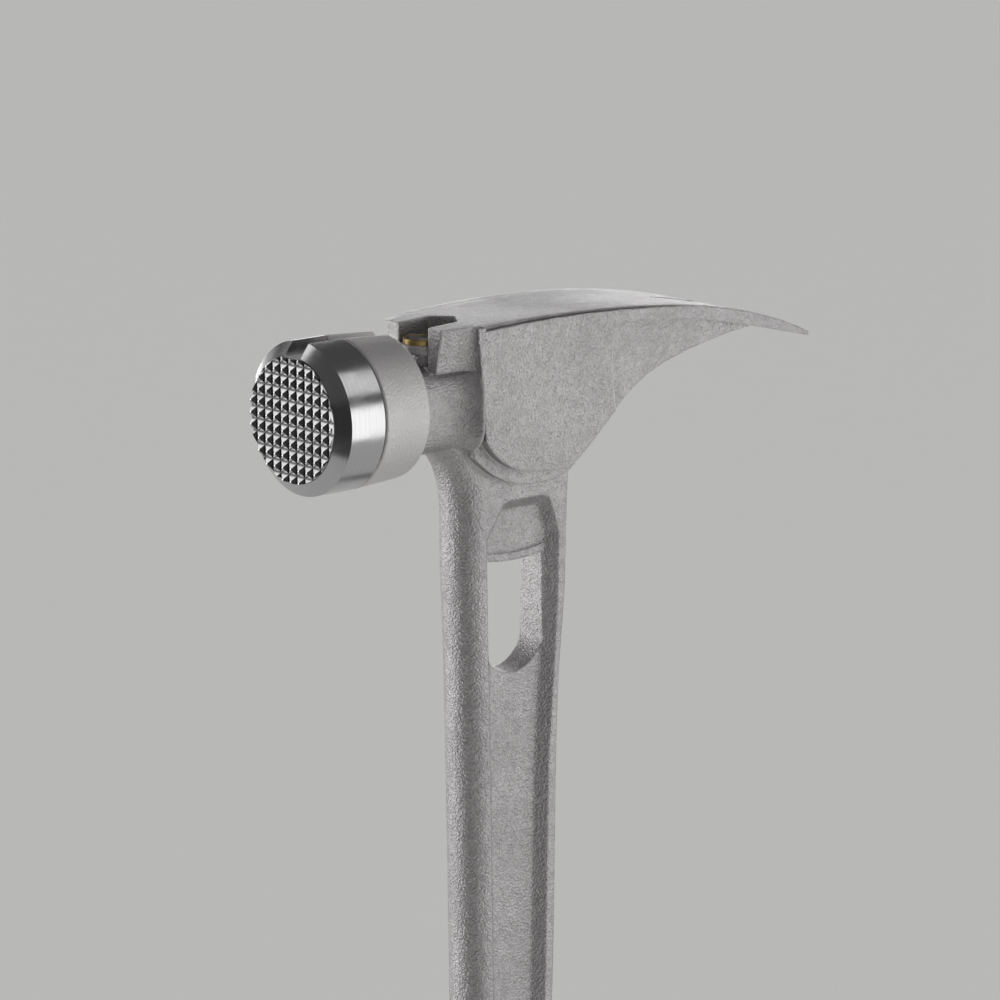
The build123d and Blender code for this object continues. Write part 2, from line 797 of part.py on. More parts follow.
def butt_cap():
    """Hard rubber end cap under the sleeve and the tang."""
    base_depth = grip_flare_depth - 3.0
    base_width = grip_flare_width - 3.0
    faces = [
        Ellipse(base_depth / 2, base_width / 2),
        Pos(0, 0, 2.2) * Ellipse(grip_flare_depth / 2 - 0.3, grip_flare_width / 2 - 0.3),
        Pos(0, 0, butt_cap_length) * Ellipse(grip_flare_depth / 2, grip_flare_width / 2),
    ]
    return loft(faces, ruled=True)


HEAD_PIECES = {
    "hammer_body": hammer_body,
    "milled_face": milled_face,
    "face_o_ring": face_o_ring,
    "face_lock_screw": face_lock_screw,
    "lock_screw_tip": lock_screw_tip,
    "magnet_cup": magnet_cup,
    "nail_magnet": nail_magnet,
}
GRIP_PIECES = {
    "grip_sleeve": grip_sleeve,
    "butt_cap": butt_cap,
}

for node, make in HEAD_PIECES.items():
    export_step(Pos(0, 0, head_axis_height) * make(), f"parts/{node}.step")
for node, make in GRIP_PIECES.items():
    export_step(make(), f"parts/{node}.step")
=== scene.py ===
import logging
import math
from dataclasses import dataclass, field
from enum import Enum

import bmesh
import bpy
from mathutils import Matrix, Vector


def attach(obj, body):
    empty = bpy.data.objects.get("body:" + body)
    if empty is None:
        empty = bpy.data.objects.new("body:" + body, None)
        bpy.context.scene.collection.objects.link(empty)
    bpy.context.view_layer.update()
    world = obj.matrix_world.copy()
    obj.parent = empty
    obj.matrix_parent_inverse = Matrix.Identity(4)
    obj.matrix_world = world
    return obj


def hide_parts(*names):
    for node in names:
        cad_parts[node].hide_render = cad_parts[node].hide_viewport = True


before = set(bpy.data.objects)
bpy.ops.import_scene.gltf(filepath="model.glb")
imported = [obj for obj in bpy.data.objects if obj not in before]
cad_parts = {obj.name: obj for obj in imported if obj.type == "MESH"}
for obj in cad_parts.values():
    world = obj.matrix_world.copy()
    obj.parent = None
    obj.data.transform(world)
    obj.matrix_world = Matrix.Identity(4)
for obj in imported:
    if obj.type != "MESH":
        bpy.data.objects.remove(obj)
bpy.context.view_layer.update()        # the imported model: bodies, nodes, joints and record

# Framing hammer with a pull-off milled striking cap: the finishes of the solid parts, the moulded
# rubber grip, and the studio. Metres, +Z up the handle, the striking cap looks along -X.

LOG = logging.getLogger("framing_hammer")
MM = 0.001

Colour = tuple[float, float, float]
GRAIN_TURN = (0.61, 0.37, 0.93)  # turns the grain off the faces' own directions, so that no weave shows


class Body(Enum):
    """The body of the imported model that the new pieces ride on."""

    HAMMER = "hammer"


class Slot(Enum):
    """Material slots of the record."""

    CASTING = "casting"
    FACE_STEEL = "face_steel"
    RING_RUBBER = "ring_rubber"
    SCREW_STEEL = "screw_steel"
    TIP_BRASS = "tip_brass"
    GILT_CUP = "gilt_cup"
    MAGNET = "magnet"
    GRIP_RUBBER = "grip_rubber"
    BUTT_RUBBER = "butt_rubber"


# ---------------------------------------------------------------- shader nodes


class NodeSheet:
    """Adds and joins nodes in one node tree."""

    def __init__(self, tree: bpy.types.NodeTree) -> None:
        """Keeps the tree to work in.

        Args:
            tree: the material's or the group's node tree.
        """
        self.tree = tree

    def add(self, kind: str, settings: dict[str, object] | None = None, **inputs: object) -> bpy.types.Node:
        """Adds a node and fills its inputs.

        Args:
            kind: the node's type name, such as ShaderNodeBump.
            settings: properties of the node itself, such as its operation.
            inputs: socket names, with _ for a space, or i0, i1 for a socket by number.

        Returns:
            The new node.
        """
        node = self.tree.nodes.new(kind)
        for name, value in (settings or {}).items():
            setattr(node, name, value)
        for name, value in inputs.items():
            socket = node.inputs[int(name[1:])] if name[0] == "i" and name[1:].isdigit() else (
                node.inputs[name.replace("_", " ")]
            )
            self.feed(value, socket)
        return node

    def feed(self, value: object, socket: bpy.types.NodeSocket) -> None:
        """Joins an output to a socket, or sets the socket to a plain value.

        Args:
            value: an output socket, a number, or a colour.
            socket: the input to fill.
        """
        if isinstance(value, bpy.types.NodeSocket):
            self.tree.links.new(value, socket)
        else:
            socket.default_value = value

    def maths(self, operation: str, first: object, second: object = 0.0) -> bpy.types.NodeSocket:
        """Adds a Math node and returns its output."""
        return self.add("ShaderNodeMath", {"operation": operation}, i0=first, i1=second).outputs[0]

    def span(
        self, value: object, low: float, high: float, to_low: float = 0.0, to_high: float = 1.0
    ) -> bpy.types.NodeSocket:
        """Maps a value from one range onto another, held inside it, with soft ends.

        Args:
            value: the output to map.
            low: start of its range.
            high: end of its range.
            to_low: result at the start.
            to_high: result at the end.

        Returns:
            The mapped output.
        """
        node = self.add(
            "ShaderNodeMapRange",
            {"interpolation_type": "SMOOTHSTEP"},
            Value=value,
            From_Min=low,
            From_Max=high,
            To_Min=to_low,
            To_Max=to_high,
        )
        return node.outputs[0]

    def blend(self, share: object, first: object, second: object, how: str = "MIX") -> bpy.types.NodeSocket:
        """Mixes two colours.

        Args:
            share: how much of the second shows.
            first: a colour or an output.
            second: a colour or an output.
            how: the Mix node's blend type.

        Returns:
            The mixed colour's output.
        """
        node = self.tree.nodes.new("ShaderNodeMix")
        node.data_type = "RGBA"
        node.blend_type = how
        self.feed(share, node.inputs[0])
        for value, socket in ((first, node.inputs[6]), (second, node.inputs[7])):
            self.feed((*value, 1.0) if isinstance(value, tuple) else value, socket)
        return node.outputs[2]

    def noise(
        self, vector: object, scale: object, detail: float = 2.0, roughness: float = 0.5
    ) -> bpy.types.NodeSocket:
        """Adds a Noise texture and returns its factor."""
        node = self.add("ShaderNodeTexNoise", Vector=vector, Scale=scale, Detail=detail, Roughness=roughness)
        return node.outputs[0]


def new_group(
    name: str, inputs: dict[str, float | None], outputs: dict[str, str]
) -> tuple[bpy.types.NodeTree, bpy.types.Node, bpy.types.Node]:
    """Starts a shader node group with named sockets.

    Args:
        name: the group's name.
        inputs: default of each number input, or None for a vector input.
        outputs: socket type of each output, Float or Vector.

    Returns:
        The group's tree, its input node and its output node.
    """
    tree = bpy.data.node_groups.new(name, "ShaderNodeTree")
    for label, default in inputs.items():
        kind = "NodeSocketVector" if default is None else "NodeSocketFloat"
        socket = tree.interface.new_socket(label, in_out="INPUT", socket_type=kind)
        if default is not None:
            socket.default_value = default
    for label, kind in outputs.items():
        tree.interface.new_socket(label, in_out="OUTPUT", socket_type=f"NodeSocket{kind}")
    return tree, tree.nodes.new("NodeGroupInput"), tree.nodes.new("NodeGroupOutput")


def soft_edges_group() -> bpy.types.NodeTree:
    """Rounded normals near edges, and a mask of the outer edges, which the finishes colour as worn, and on
    the casting partly as a painted highlight.

    Returns:
        The group: Radius, Wear From and Wear To in, Normal and Edge out.
    """
    tree, given, made = new_group(
        "soft_edges",
        {"Radius": 0.4 * MM, "Wear From": 0.03, "Wear To": 0.3},
        {"Normal": "Vector", "Edge": "Float"},
    )
    sheet = NodeSheet(tree)
    bevel = sheet.add("ShaderNodeBevel", {"samples": 6}, Radius=given.outputs["Radius"])
    true_normal = sheet.add("ShaderNodeNewGeometry").outputs["Normal"]
    cosine = sheet.add(
        "ShaderNodeVectorMath", {"operation": "DOT_PRODUCT"}, i0=bevel.outputs[0], i1=true_normal
    )
    turned = sheet.maths("SUBTRACT", 1.0, cosine.outputs["Value"])
    mask = sheet.add(
        "ShaderNodeMapRange",
        {"interpolation_type": "SMOOTHSTEP"},
        Value=turned,
        From_Min=given.outputs["Wear From"],
        From_Max=given.outputs["Wear To"],
    )
    sheet.feed(bevel.outputs[0], made.inputs["Normal"])
    sheet.feed(mask.outputs[0], made.inputs["Edge"])
    return tree


def cast_grain_group() -> bpy.types.NodeTree:
    """Pebbled skin of a blasted or moulded surface.

    Returns:
        The group: Vector, Pebble Size, Ripple Size and Ripple Share in, Height and Tone out.
    """
    tree, given, made = new_group(
        "cast_grain",
        {"Vector": None, "Pebble Size": 0.5 * MM, "Ripple Size": 3.0 * MM, "Ripple Share": 0.4},
        {"Height": "Float", "Tone": "Float"},
    )
    sheet = NodeSheet(tree)
    vector = sheet.add("ShaderNodeMapping", Vector=given.outputs["Vector"], Rotation=GRAIN_TURN).outputs[0]
    fine_scale = sheet.maths("DIVIDE", 1.0, given.outputs["Pebble Size"])
    broad_scale = sheet.maths("DIVIDE", 1.0, given.outputs["Ripple Size"])
    pebbles = sheet.noise(vector, fine_scale, detail=3.0, roughness=0.55)
    ripples = sheet.noise(vector, broad_scale, detail=2.0, roughness=0.5)
    pits = sheet.add(
        "ShaderNodeTexVoronoi", {"feature": "SMOOTH_F1"}, Vector=vector, Scale=fine_scale, Smoothness=0.6
    )
    pit_share, pebble_tone, ripple_tone = 0.5, 0.6, 0.4
    pebbled = sheet.maths("ADD", pebbles, sheet.maths("MULTIPLY", pits.outputs["Distance"], pit_share))
    rippled = sheet.maths("MULTIPLY", ripples, given.outputs["Ripple Share"])
    sheet.feed(sheet.maths("ADD", pebbled, rippled), made.inputs["Height"])
    tone = sheet.maths(
        "ADD", sheet.maths("MULTIPLY", pebbles, pebble_tone), sheet.maths("MULTIPLY", ripples, ripple_tone)
    )
    sheet.feed(sheet.span(tone, low=0.35, high=0.65), made.inputs["Tone"])
    return tree


def turned_lines_group() -> bpy.types.NodeTree:
    """Fine tool lines that run round the head axis, on rims and on flat ends alike.

    Returns:
        The group: Vector and Line Width in, Height and Tone out.
    """
    tree, given, made = new_group(
        "turned_lines",
        {"Vector": None, "Line Width": 0.12 * MM},
        {"Height": "Float", "Tone": "Float"},
    )
    sheet = NodeSheet(tree)
    parts = sheet.add("ShaderNodeSeparateXYZ", i0=given.outputs["Vector"])
    radius = sheet.maths(
        "SQRT",
        sheet.maths(
            "ADD",
            sheet.maths("MULTIPLY", parts.outputs[1], parts.outputs[1]),
            sheet.maths("MULTIPLY", parts.outputs[2], parts.outputs[2]),
        ),
    )
    along = sheet.maths("ADD", parts.outputs[0], radius)
    place = sheet.maths("DIVIDE", along, given.outputs["Line Width"])
    broad_share = 0.12
    line = {"noise_dimensions": "1D"}
    fine = sheet.add("ShaderNodeTexNoise", line, W=place, Scale=1.0, Detail=3.0, Roughness=0.6)
    broad_place = sheet.maths("MULTIPLY", place, broad_share)
    broad = sheet.add("ShaderNodeTexNoise", line, W=broad_place, Scale=1.0, Detail=1.0)
    sheet.feed(fine.outputs[0], made.inputs["Height"])
    sheet.feed(sheet.span(broad.outputs[0], low=0.3, high=0.7), made.inputs["Tone"])
    return tree


def handling_group() -> bpy.types.NodeTree:
    """Uneven patches where hands, nails and dust have changed the sheen.

    Returns:
        The group: Vector and Patch Size in, Mask out.
    """
    tree, given, made = new_group("handling", {"Vector": None, "Patch Size": 18.0 * MM}, {"Mask": "Float"})
    sheet = NodeSheet(tree)
    scale = sheet.maths("DIVIDE", 1.0, given.outputs["Patch Size"])
    clouds = sheet.noise(given.outputs["Vector"], scale, detail=5.0, roughness=0.62)
    sheet.feed(sheet.span(clouds, low=0.38, high=0.66), made.inputs["Mask"])
    return tree


class ShaderShelf:
    """The shared node groups, each built once."""

    def __init__(self) -> None:
        """Builds every group."""
        self.soft_edges = soft_edges_group()
        self.cast_grain = cast_grain_group()
        self.turned_lines = turned_lines_group()
        self.handling = handling_group()

    def place(self, sheet: NodeSheet, group: bpy.types.NodeTree, **inputs: object) -> bpy.types.Node:
        """Places a group in a material with its own values.

        Args:
            sheet: the material's sheet.
            group: one of this shelf's groups.
            inputs: values or outputs for the group's sockets.

        Returns:
            The group node.
        """
        return sheet.add("ShaderNodeGroup", {"node_tree": group}, **inputs)


@dataclass(frozen=True)
class Finish:
    """What every finish has: a name, a colour and the Principled shader's plain values."""

    name: str
    colour: Colour
    roughness: float
    metallic: float = 1.0
    edge_radius: float = 0.35 * MM
    wear_from: float = 0.03
    wear_to: float = 0.3

    def material(self, shelf: ShaderShelf) -> bpy.types.Material:
        """Builds the finish.

        Args:
            shelf: the shared node groups.

        Returns:
            The finished material.
        """
        material = bpy.data.materials.new(self.name)
        material.use_nodes = True
        material.diffuse_color = (*self.colour, 1.0)
        material.node_tree.nodes.clear()
        sheet = NodeSheet(material.node_tree)
        shader = sheet.add("ShaderNodeBsdfPrincipled", Metallic=self.metallic)
        out = sheet.add("ShaderNodeOutputMaterial")
        sheet.feed(shader.outputs[0], out.inputs["Surface"])
        vector = sheet.add("ShaderNodeTexCoord").outputs["Object"]
        edges = shelf.place(
            sheet, shelf.soft_edges, Radius=self.edge_radius, Wear_From=self.wear_from, Wear_To=self.wear_to
        )
        self.dress(sheet, shelf, shader, vector, edges)
        return material

    def dress(
        self,
        sheet: NodeSheet,
        shelf: ShaderShelf,
        shader: bpy.types.Node,
        vector: bpy.types.NodeSocket,
        edges: bpy.types.Node,
    ) -> None:
        """Feeds the shader's colour, roughness and normal.

        Args:
            sheet: the material's sheet.
            shelf: the shared node groups.
            shader: the Principled shader.
            vector: object coordinates.
            edges: the placed soft_edges group.
        """
        raise NotImplementedError

    def bump(
        self,
        sheet: NodeSheet,
        shader: bpy.types.Node,
        height: object,
        depth: float,
        strength: float,
        normal: object,
    ) -> None:
        """Joins a height to the shader's normal.

        Args:
            sheet: the material's sheet.
            shader: the Principled shader.
            height: the height's output.
            depth: what a height of 1 stands for, in metres.
            strength: how strongly it shows.
            normal: the normal to start from.
        """
        node = sheet.add("ShaderNodeBump", Height=height, Distance=depth, Strength=strength, Normal=normal)
        sheet.feed(node.outputs[0], shader.inputs["Normal"])


@dataclass(frozen=True)
class BlastedCasting(Finish):
    """Bead-blasted light alloy: fine grain, soft edges worn bright with a painted highlight on them, and a
    paler, smoother collar.
    """

    # near-white edge colour: partly worn metal, partly a painted highlight along the edges
    worn_colour: Colour = (0.93, 0.92, 0.92)
    shaded_colour: Colour = (0.42, 0.408, 0.41)
    collar_colour: Colour = (0.76, 0.745, 0.742)
    grain: float = 0.5 * MM
    ripple: float = 2.0 * MM
    ripple_share: float = 0.5
    grain_depth: float = 0.32 * MM
    grain_strength: float = 0.8
    patch: float = 22.0 * MM
    patch_smoother: float = 0.03
    patch_rougher: float = 0.05
    collar_rear: float = -31.5 * MM
    collar_fade_from: float = 1.2 * MM
    collar_fade_to: float = -0.6 * MM
    collar_share: float = 0.8
    collar_rougher: float = 0.14
    collar_grain: float = 0.45
    claw_from: float = 20.0 * MM
    claw_to: float = 80.0 * MM
    # how strongly the edges take the near-white colour: partly worn metal, partly painted highlight
    edge_wear_and_highlight: float = 0.7
    claw_wear_and_highlight: float = 0.3
    wear_smoother: float = 0.12

    def dress(
        self,
        sheet: NodeSheet,
        shelf: ShaderShelf,
        shader: bpy.types.Node,
        vector: bpy.types.NodeSocket,
        edges: bpy.types.Node,
    ) -> None:
        """Dresses the casting: grain, collar, worn edges with a painted highlight, and uneven sheen.

        Args:
            sheet: the material's sheet.
            shelf: the shared node groups.
            shader: the Principled shader.
            vector: object coordinates.
            edges: the placed soft_edges group.
        """
        grain = shelf.place(
            sheet,
            shelf.cast_grain,
            Vector=vector,
            Pebble_Size=self.grain,
            Ripple_Size=self.ripple,
            Ripple_Share=self.ripple_share,
        )
        patches = shelf.place(sheet, shelf.handling, Vector=vector, Patch_Size=self.patch)
        along = sheet.add("ShaderNodeSeparateXYZ", i0=vector).outputs[0]
        fade_from, fade_to = self.collar_rear + self.collar_fade_from, self.collar_rear + self.collar_fade_to
        collar = sheet.span(along, fade_from, fade_to)
        tone = sheet.blend(grain.outputs["Tone"], self.shaded_colour, self.colour)
        tone = sheet.blend(sheet.maths("MULTIPLY", collar, self.collar_share), tone, self.collar_colour)
        # edges painted near white: partly worn metal, partly a painted highlight, stronger towards the claw
        claw = sheet.maths("MULTIPLY", sheet.span(along, self.claw_from, self.claw_to), self.claw_wear_and_highlight)
        wear_and_highlight = sheet.maths("MULTIPLY", edges.outputs["Edge"], sheet.maths("ADD", claw, self.edge_wear_and_highlight))
        sheet.feed(sheet.blend(wear_and_highlight, tone, self.worn_colour), shader.inputs["Base Color"])
        smooth, rough = self.roughness - self.patch_smoother, self.roughness + self.patch_rougher
        sheen = sheet.span(patches.outputs["Mask"], 0.0, 1.0, smooth, rough)
        sheen = sheet.maths("SUBTRACT", sheen, sheet.maths("MULTIPLY", wear_and_highlight, self.wear_smoother))
        sheen = sheet.maths("ADD", sheen, sheet.maths("MULTIPLY", collar, self.collar_rougher))
        sheet.feed(sheen, shader.inputs["Roughness"])
        share = sheet.span(collar, 0.0, 1.0, 1.0, self.collar_grain)
        height = sheet.maths("MULTIPLY", grain.outputs["Height"], share)
        self.bump(sheet, shader, height, self.grain_depth, self.grain_strength, edges.outputs["Normal"])


@dataclass(frozen=True)
class TurnedSteel(Finish):
    """Turned and polished tool steel with fine lines round the axis, and painted shade between the teeth."""

    line_width: float = 0.05 * MM
    line_depth: float = 0.0006 * MM
    head_axis_height: float = 428.1 * MM
    patch: float = 7.0 * MM
    patch_rougher: float = 0.07
    line_dark: float = 0.94
    edge_bright: float = 1.25
    tooth_foot: float = -57.3 * MM
    # painted shade between the teeth: how far below the tooth foot it starts and where it is full
    valley_shade_top: float = 0.34 * MM
    valley_shade_full: float = 0.04 * MM
    land_far: float = 0.06 * MM
    land_near: float = 0.02 * MM
    # strength and near-black colour of the painted shade between the teeth
    valley_shade_share: float = 0.85
    valley_shade_colour: Colour = (0.02, 0.02, 0.021)

    def dress(
        self,
        sheet: NodeSheet,
        shelf: ShaderShelf,
        shader: bpy.types.Node,
        vector: bpy.types.NodeSocket,
        edges: bpy.types.Node,
    ) -> None:
        """Dresses the steel: tool lines, bright edges and painted shade in the valleys between the teeth.

        Args:
            sheet: the material's sheet.
            shelf: the shared node groups.
            shader: the Principled shader.
            vector: object coordinates.
            edges: the placed soft_edges group.
        """
        shift = (0.0, 0.0, -self.head_axis_height)
        about_axis = sheet.add("ShaderNodeMapping", Vector=vector, Location=shift).outputs[0]
        lines = shelf.place(sheet, shelf.turned_lines, Vector=about_axis, Line_Width=self.line_width)
        patches = shelf.place(sheet, shelf.handling, Vector=vector, Patch_Size=self.patch)
        darker = tuple(self.line_dark * channel for channel in self.colour)
        brighter = tuple(min(1.0, self.edge_bright * channel) for channel in self.colour)
        tone = sheet.blend(lines.outputs["Tone"], darker, self.colour)
        tone = sheet.blend(edges.outputs["Edge"], tone, brighter)
        along = sheet.add("ShaderNodeSeparateXYZ", i0=vector).outputs[0]
        # painted shade: the valleys between the teeth are coloured near black in place of the shade that
        # falls there
        valley = sheet.span(along, self.tooth_foot - self.valley_shade_top, self.tooth_foot - self.valley_shade_full)
        land = sheet.span(along, self.tooth_foot + self.land_far, self.tooth_foot + self.land_near)
        painted_valley_shade = sheet.maths("MULTIPLY", sheet.maths("MULTIPLY", valley, land), self.valley_shade_share)
        sheet.feed(sheet.blend(painted_valley_shade, tone, self.valley_shade_colour), shader.inputs["Base Color"])
        rougher = self.roughness + self.patch_rougher
        sheen = sheet.span(patches.outputs["Mask"], 0.0, 1.0, self.roughness, rougher)
        sheet.feed(sheen, shader.inputs["Roughness"])
        self.bump(sheet, shader, lines.outputs["Height"], self.line_depth, 1.0, edges.outputs["Normal"])


@dataclass(frozen=True)
class PlainMetal(Finish):
    """Small metal parts: a plated, oxided or brass surface with light handling marks."""

    worn_colour: Colour = (0.6, 0.6, 0.6)
    grain: float = 0.2 * MM
    ripple: float = 1.5 * MM
    grain_depth: float = 0.01 * MM
    grain_strength: float = 0.5
    grain_rougher: float = 0.1
    patch: float = 3.0 * MM
    patch_dark: float = 0.8

    def dress(
        self,
        sheet: NodeSheet,
        shelf: ShaderShelf,
        shader: bpy.types.Node,
        vector: bpy.types.NodeSocket,
        edges: bpy.types.Node,
    ) -> None:
        """Dresses the small part: patches, bright edges and fine grain.

        Args:
            sheet: the material's sheet.
            shelf: the shared node groups.
            shader: the Principled shader.
            vector: object coordinates.
            edges: the placed soft_edges group.
        """
        grain = shelf.place(
            sheet, shelf.cast_grain, Vector=vector, Pebble_Size=self.grain, Ripple_Size=self.ripple
        )
        patches = shelf.place(sheet, shelf.handling, Vector=vector, Patch_Size=self.patch)
        darker = tuple(self.patch_dark * channel for channel in self.colour)
        tone = sheet.blend(patches.outputs["Mask"], darker, self.colour)
        sheet.feed(sheet.blend(edges.outputs["Edge"], tone, self.worn_colour), shader.inputs["Base Color"])
        rougher = self.roughness + self.grain_rougher
        sheen = sheet.span(grain.outputs["Tone"], 0.0, 1.0, self.roughness, rougher)
        sheet.feed(sheen, shader.inputs["Roughness"])
        height = grain.outputs["Height"]
        self.bump(sheet, shader, height, self.grain_depth, self.grain_strength, edges.outputs["Normal"])


@dataclass(frozen=True)
class MouldedRubber(Finish):
    """Matt moulded rubber: fine spark-eroded grain, dust, and edges rubbed grey."""

    metallic: float = 0.0
    dust_colour: Colour = (0.07, 0.068, 0.065)
    rubbed_colour: Colour = (0.022, 0.022, 0.023)
    dust_in_hollows: float = 0.35
    dust_on_tops: float = 0.1
    grain: float = 0.32 * MM
    ripple: float = 6.0 * MM
    ripple_share: float = 0.2
    grain_depth: float = 0.08 * MM
    grain_strength: float = 0.6
    patch: float = 26.0 * MM
    patch_spread: float = 0.08

    def dress(
        self,
        sheet: NodeSheet,
        shelf: ShaderShelf,
        shader: bpy.types.Node,
        vector: bpy.types.NodeSocket,
        edges: bpy.types.Node,
    ) -> None:
        """Dresses the rubber: dust, grain and rubbed edges.

        Args:
            sheet: the material's sheet.
            shelf: the shared node groups.
            shader: the Principled shader.
            vector: object coordinates.
            edges: the placed soft_edges group.
        """
        grain = shelf.place(
            sheet,
            shelf.cast_grain,
            Vector=vector,
            Pebble_Size=self.grain,
            Ripple_Size=self.ripple,
            Ripple_Share=self.ripple_share,
        )
        patches = shelf.place(sheet, shelf.handling, Vector=vector, Patch_Size=self.patch)
        settled = sheet.span(grain.outputs["Tone"], 0.0, 1.0, self.dust_in_hollows, self.dust_on_tops)
        dust = sheet.maths("MULTIPLY", patches.outputs["Mask"], settled)
        tone = sheet.blend(dust, self.colour, self.dust_colour)
        sheet.feed(sheet.blend(edges.outputs["Edge"], tone, self.rubbed_colour), shader.inputs["Base Color"])
        smooth, rough = self.roughness - self.patch_spread, self.roughness + self.patch_spread
        sheen = sheet.span(patches.outputs["Mask"], 0.0, 1.0, smooth, rough)
        sheet.feed(sheen, shader.inputs["Roughness"])
        height = grain.outputs["Height"]
        self.bump(sheet, shader, height, self.grain_depth, self.grain_strength, edges.outputs["Normal"])


FINISHES: dict[Slot, Finish] = {
    Slot.CASTING: BlastedCasting("blasted_casting", (0.53, 0.516, 0.518), 0.5, edge_radius=0.8 * MM),
    Slot.FACE_STEEL: TurnedSteel("turned_steel", (0.54, 0.54, 0.545), 0.18, edge_radius=0.06 * MM),
    Slot.RING_RUBBER: MouldedRubber("ring_rubber", (0.018, 0.018, 0.019), 0.5),
    Slot.SCREW_STEEL: PlainMetal("oxided_steel", (0.05, 0.05, 0.055), 0.42, edge_radius=0.1 * MM),
    Slot.TIP_BRASS: PlainMetal("turned_brass", (0.7, 0.5, 0.22), 0.3, worn_colour=(0.85, 0.65, 0.35)),
    Slot.GILT_CUP: PlainMetal("gilt_plate", (0.42, 0.3, 0.12), 0.28, worn_colour=(0.9, 0.75, 0.45)),
    Slot.MAGNET: PlainMetal("nickel_plate", (0.5, 0.49, 0.47), 0.24, worn_colour=(0.7, 0.7, 0.68)),
    Slot.GRIP_RUBBER: MouldedRubber(
        "grip_rubber",
        (0.024, 0.024, 0.026),
        0.46,
        edge_radius=0.22 * MM,
        wear_from=0.0004,
        wear_to=0.006,
        rubbed_colour=(0.11, 0.108, 0.105),
    ),
    Slot.BUTT_RUBBER: MouldedRubber("butt_rubber", (0.022, 0.022, 0.023), 0.5, edge_radius=0.6 * MM),
}


class Wardrobe:
    """Builds each finish once and puts it on pieces."""

    def __init__(self) -> None:
        """Builds the shared groups and every material."""
        shelf = ShaderShelf()
        self.materials = {slot: finish.material(shelf) for slot, finish in FINISHES.items()}

    def dress_node(self, name: str, slot: Slot) -> None:
        """Gives a solid part its finish.

        Args:
            name: the node's name.
            slot: whose finish it takes.
        """
        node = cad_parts[name]
        for place in node.material_slots:
            place.material = self.materials[slot]
        LOG.info("dressed %s as %s", name, self.materials[slot].name)

    def dress_piece(self, piece: bpy.types.Object, slot: Slot) -> None:
        """Gives a new piece its finish.

        Args:
            piece: the new object.
            slot: whose finish it takes.
        """
        piece.data.materials.clear()
        piece.data.materials.append(self.materials[slot])


# ---------------------------------------------------------------- sub-assemblies


@dataclass
class Casting:
    """The one-piece head and handle."""

    node: str = "hammer_body"

    def build(self, wardrobe: Wardrobe) -> None:
        """Dresses the casting."""
        wardrobe.dress_node(self.node, Slot.CASTING)


@dataclass
class StrikingCap:
    """The pull-off milled cap and the rubber ring on its spigot."""

    cap: str = "milled_face"
    ring: str = "face_o_ring"

    def build(self, wardrobe: Wardrobe) -> None:
        """Dresses the cap and its ring."""
        wardrobe.dress_node(self.cap, Slot.FACE_STEEL)
        wardrobe.dress_node(self.ring, Slot.RING_RUBBER)


@dataclass
class NailHolder:
    """The magnet in its gilt cup, in the starter notch."""

    cup: str = "magnet_cup"
    magnet: str = "nail_magnet"

    def build(self, wardrobe: Wardrobe) -> None:
        """Dresses the cup and the magnet."""
        wardrobe.dress_node(self.cup, Slot.GILT_CUP)
        wardrobe.dress_node(self.magnet, Slot.MAGNET)


@dataclass
class CapLock:
    """The set screw under the collar and its brass tip."""

    screw: str = "face_lock_screw"
    tip: str = "lock_screw_tip"

    def build(self, wardrobe: Wardrobe) -> None:
        """Dresses the screw and its tip."""
        wardrobe.dress_node(self.screw, Slot.SCREW_STEEL)
        wardrobe.dress_node(self.tip, Slot.TIP_BRASS)


@dataclass(frozen=True)
class OvalSection:
    """One oval of the grip: its height, its depth along X and its width along Y."""

    height: float
    depth: float
    width: float


